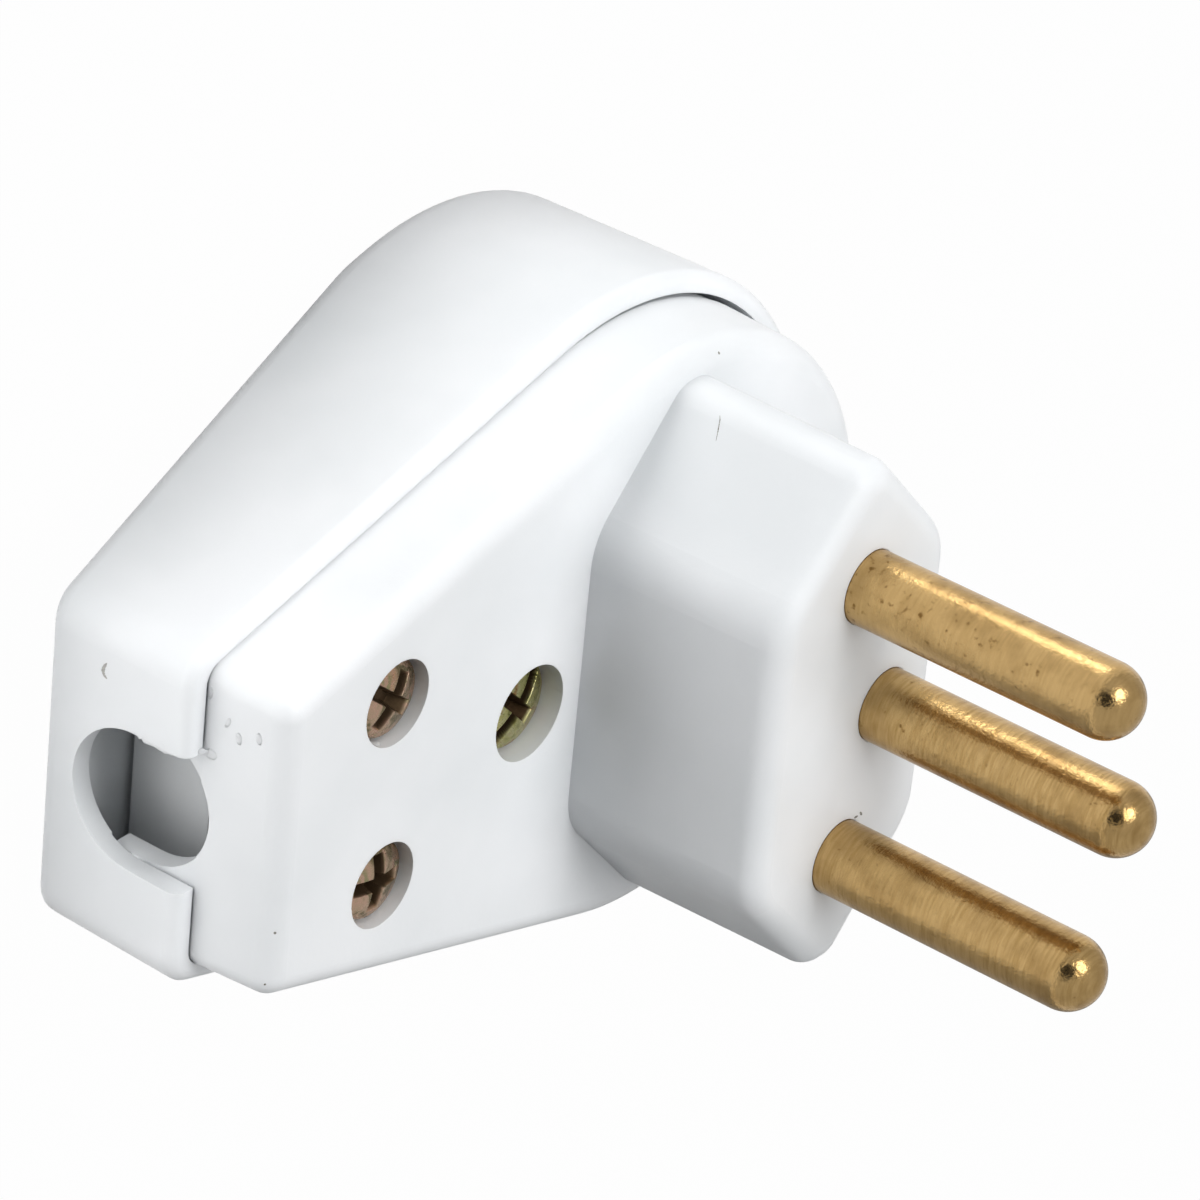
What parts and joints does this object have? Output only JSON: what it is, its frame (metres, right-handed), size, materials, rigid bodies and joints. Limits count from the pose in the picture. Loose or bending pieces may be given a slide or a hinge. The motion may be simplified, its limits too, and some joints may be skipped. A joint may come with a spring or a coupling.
{
  "type": "right-angle mains plug",
  "caption": "Right-angle rewirable mains plug: round brass pins on a hexagonal boss, a teardrop split moulded housing held by screws, and a cord entry with an inner clamp at its narrow end.",
  "frame": {"origin": "on the pin face, midway between the phase and neutral pins", "axes": "+Z along the pins towards their tips, +X from the cord end to the round end, +Y along the line through the phase and neutral pins"},
  "size_m": [0.059, 0.0418, 0.0556],
  "materials": {
    "housing": "white moulded thermoplastic with a satin surface",
    "pins": "turned brass with fine tool rings",
    "screws": "steel with a yellow zinc finish",
    "clamp": "pale grey moulded thermoplastic"
  },
  "bodies": {
    "root": {"base_housing": "housing", "rear_cover": "housing", "phase_pin": "pins", "neutral_pin": "pins", "earth_pin": "pins", "phase_terminal_screw": "screws", "neutral_terminal_screw": "screws", "earth_terminal_screw": "screws", "cord_clamp": "clamp", "clamp_screw_phase_side": "screws", "clamp_screw_neutral_side": "screws", "cover_screw": "screws"}
  },
  "joints": []
}
